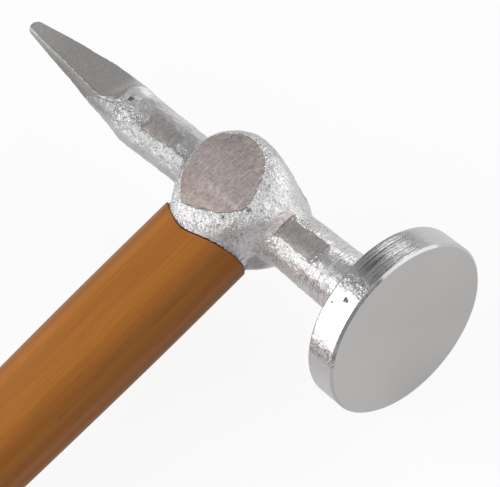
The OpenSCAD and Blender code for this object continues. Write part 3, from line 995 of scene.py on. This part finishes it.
def handle_sizes(s, h):
    """Values of the named inputs of the handle's tree."""
    butt, swell = HANDLE_LOW[1], s.skirt_y - h.shoulder_run
    sizes = {
        "Axis X": -s.face_reach, "Top Y": s.boss_top + s.boss_rise + TENON_OVERRUN,
        "Shoulder Y": s.skirt_y, "Shoulder Lift": s.skirt_lift, "Shoulder Bend": s.skirt_bend,
        "Swell Y": swell, "Level Run": h.level_run, "Level Y": swell - h.level_run,
        "Waist Y": butt + h.waist_up, "Grip Y": butt + h.grip_up, "Round Y": butt + h.butt_round,
        "Butt Y": butt, "Squareness": h.squareness, "Unevenness": h.unevenness,
        "Eye Length": s.eye_length - 2 * h.fit_gap, "Eye Width": s.eye_width - 2 * h.fit_gap,
    }
    for place in ("Top", "Waist", "Grip", "Butt"):
        for way in ("Length", "Width"):
            sizes[f"{place} {way}"] = getattr(h, f"{place}_{way}".lower())
    return sizes


def run_tree(piece, tree, values):
    """Puts the tree on the piece, sets its inputs and keeps the result as a plain mesh."""
    loft = piece.modifiers.new("loft", "NODES")
    loft.node_group = tree
    for item in tree.interface.items_tree:
        if item.in_out == "INPUT":
            loft[item.identifier] = float(values[item.name])
    apply_modifiers(piece)


def crown_cutter(s, h, material):
    """Everything above the crown: the gap between its arc and a flat lid, wider than the eye."""
    span = math.asin(min(0.95, s.eye_length * CROWN_SPAN / h.crown_radius))
    centre_y = h.crown_height - h.crown_radius
    arc_points = [(-s.face_reach + h.crown_radius * math.sin(a), centre_y + h.crown_radius * math.cos(a))
                  for a in np.linspace(-span, span, OVAL_SIDES)]
    lid = h.crown_height + CROWN_OVERRUN
    outline = arc_points + [(arc_points[-1][0], lid), (arc_points[0][0], lid)]
    vertices = [(x, y, z) for z in (-s.disc_radius, s.disc_radius) for x, y in outline]
    return new_piece("crown", vertices, tube_faces(2, len(outline)), [material])


def wedge_solid(name, reach, thick_top, depth, top_y, centre_x, material, across=False, grow=0.0):
    """A tapered wedge on its thin edge. Its length lies along X, or along Z when across is set."""
    thin, thick = thick_top * WEDGE_EDGE + grow, thick_top / 2 + grow
    half = reach / 2 + grow
    levels = ((top_y - depth - grow, thin),
              (top_y + WEDGE_OVERRUN, thick * (1 + WEDGE_OVERRUN / depth)))
    points = []
    for y, side in levels:
        for along, out in ((-half, -side), (half, -side), (half, side), (-half, side)):
            x, z = (out, -along) if across else (along, out)
            points.append((centre_x + x, y, z))
    return new_piece(name, points, tube_faces(2, 4), [material])


def wedge_blanks(s, h, wood, steel, grow=0.0):
    """The wooden wedge and the two steel wedges before dressing, or their slots when grow is given."""
    centre, top = -s.face_reach, h.crown_height
    made = [wedge_solid("wood_wedge_dressed", s.eye_length - 4 * h.fit_gap, h.wedge_thickness, h.wedge_depth,
                        top, centre, wood, grow=grow)]
    for name, side in (("steel_wedge_front_dressed", 1), ("steel_wedge_rear_dressed", -1)):
        made.append(wedge_solid(name, h.steel_length, h.steel_thickness, h.steel_depth, top,
                                centre + side * h.steel_gap / 2, steel, across=True, grow=grow))
    return made


class HAMMER_OT_handle(bpy.types.Operator):
    """Lofts the oval handle, dresses its tenon to the crown and saws the slots of the wedges"""
    bl_idname = "hammer.handle"
    bl_label = "Handle"

    def execute(self, context):
        scene = context.scene
        s, h, colours = scene.hammer_head, scene.hammer_handle, scene.hammer_colours
        wood, raw = varnished_wood(colours, s, h), bare_wood(colours, s)
        handle = new_piece("handle_dressed", [], [], [])
        sizes = handle_sizes(s, h)
        run_tree(handle, handle_tree(sizes, wood), sizes)
        handle.data.materials.append(raw)
        carve(handle, [crown_cutter(s, h, raw), *wedge_blanks(s, h, raw, raw, grow=h.fit_gap)])
        sharpen(handle, WOOD_CREASE)
        seat(handle, "handle")
        return {"FINISHED"}


class HAMMER_OT_wedges(bpy.types.Operator):
    """Makes the wooden wedge and the two steel wedges, dressed flush with the crown"""
    bl_idname = "hammer.wedges"
    bl_label = "Wedges"

    def execute(self, context):
        scene = context.scene
        s, h, colours = scene.hammer_head, scene.hammer_handle, scene.hammer_colours
        wood, steel = bare_wood(colours, s), wedge_metal(colours)
        pieces = wedge_blanks(s, h, wood, steel)
        slots = wedge_blanks(s, h, wood, wood, grow=h.fit_gap)
        bpy.data.objects.remove(slots[0])
        tenon = oval_plug("tenon", s, wood, shrink=h.fit_gap)
        carve(pieces[0], [tenon], "INTERSECT")
        carve(pieces[0], slots[1:])
        for piece, node, slot in zip(pieces, ("wood_wedge", "steel_wedge_front", "steel_wedge_rear"),
                                     ("bare_wood", "wedge_steel", "wedge_steel")):
            carve(piece, [crown_cutter(s, h, piece.data.materials[0])])
            seat(piece, node)
        return {"FINISHED"}


def area_light(name, toward, size, power, target):
    """A rectangular soft light in the given direction from the target, and turned to it."""
    data = bpy.data.lights.new(name, "AREA")
    data.shape = "RECTANGLE"
    data.size, data.size_y = size
    data.energy = power
    lamp = bpy.data.objects.new(name, data)
    direction = Vector(toward).normalized()
    lamp.location = Vector(target) + direction * LAMP_DISTANCE
    lamp.rotation_mode = "QUATERNION"
    lamp.rotation_quaternion = direction.to_track_quat("Z", "Y")
    bpy.context.scene.collection.objects.link(lamp)


class HAMMER_OT_stage(bpy.types.Operator):
    """Sets the pale floor, the soft lights, the white surroundings and the camera"""
    bl_idname = "hammer.stage"
    bl_label = "Stage"

    def execute(self, context):
        scene = context.scene
        stage, s = scene.hammer_stage, scene.hammer_head
        top = CAD_BOX[0][2]
        floor = block("floor", (-FLOOR_HALF, -FLOOR_HALF, top - FLOOR_THICKNESS),
                      (FLOOR_HALF, FLOOR_HALF, top), floor_paint(scene.hammer_colours))
        self.camera(scene, stage)
        for name, (toward, size) in LAMPS.items():
            area_light(name, toward, size, getattr(stage, name + "_power"), (-s.face_reach, 0, 0))
        self.surroundings(scene, stage)
        scene.view_settings.view_transform = "Standard"
        return {"FINISHED"}

    def camera(self, scene, stage):
        """A camera in the given direction, shifted until the aim lies at its pixel."""
        azimuth, elevation, roll = stage.azimuth, stage.elevation, stage.roll
        back = Vector((math.sin(azimuth) * math.cos(elevation),
                       -math.cos(azimuth) * math.cos(elevation), math.sin(elevation)))
        level = Vector((0, 0, 1)).cross(back).normalized()
        rise = back.cross(level)
        right = level * math.cos(roll) + rise * math.sin(roll)
        up = rise * math.cos(roll) - level * math.sin(roll)
        focal = stage.pixels_per_mm * stage.distance * 1000
        width, height = stage.picture
        off_right = (stage.aim_pixel[0] - width / 2) / focal * stage.distance
        off_up = (height / 2 - stage.aim_pixel[1]) / focal * stage.distance
        place = Vector((stage.aim_x, 0, 0)) - right * off_right - up * off_up + back * stage.distance
        data = bpy.data.cameras.new("camera")
        data.sensor_width = 36
        data.lens = focal / width * data.sensor_width
        data.clip_start, data.clip_end = 0.01, 20
        camera = bpy.data.objects.new("camera", data)
        camera.matrix_world = Matrix((
            (right.x, up.x, back.x, place.x), (right.y, up.y, back.y, place.y),
            (right.z, up.z, back.z, place.z), (0, 0, 0, 1)))
        scene.collection.objects.link(camera)
        scene.camera = camera

    def surroundings(self, scene, stage):
        """White to the camera, and a plain grey that lights the object."""
        world = bpy.data.worlds.new("surroundings")
        world.use_nodes = True
        made = Nodes(world.node_tree)
        made.tree.nodes.clear()
        seen = made.outputs("ShaderNodeLightPath")[0]
        sky = made.node("Background", {}, {"Strength": seen * (1 - stage.sky) + stage.sky})
        out = made.tree.nodes.new("ShaderNodeOutputWorld")
        made.tree.links.new(sky.socket, out.inputs["Surface"])
        scene.world = world


class HAMMER_PT_panel(bpy.types.Panel):
    """Lists the hammer's pieces in the order they are made"""
    bl_idname = "HAMMER_PT_panel"
    bl_label = "Panel beating hammer"
    bl_space_type = "VIEW_3D"
    bl_region_type = "UI"
    bl_category = "Hammer"

    def draw(self, context):
        for operator in OPERATORS:
            self.layout.operator(operator.bl_idname)
        for name in SETTINGS:
            box = self.layout.box()
            group = getattr(context.scene, name)
            for prop in group.bl_rna.properties:
                if not prop.is_readonly and prop.identifier != "name":
                    box.prop(group, prop.identifier)


OPERATORS = (HAMMER_OT_stage, HAMMER_OT_head, HAMMER_OT_handle, HAMMER_OT_wedges)
SETTINGS = {"hammer_head": HeadSizes, "hammer_handle": HandleSizes,
            "hammer_colours": FinishColours, "hammer_stage": StageSettings}
CLASSES = (*SETTINGS.values(), *OPERATORS, HAMMER_PT_panel)


def register():
    """Makes the classes known, and gives the scene its groups of settings."""
    for cls in CLASSES:
        bpy.utils.register_class(cls)
    for name, group in SETTINGS.items():
        setattr(bpy.types.Scene, name, PointerProperty(type=group))


def unregister():
    """Takes the settings and the classes away again."""
    for name in SETTINGS:
        delattr(bpy.types.Scene, name)
    for cls in reversed(CLASSES):
        bpy.utils.unregister_class(cls)


def main():
    """Makes the stage and every piece."""
    register()
    bpy.ops.hammer.stage()
    bpy.ops.hammer.head()
    bpy.ops.hammer.handle()
    bpy.ops.hammer.wedges()


if __name__ == "__main__":
    main()
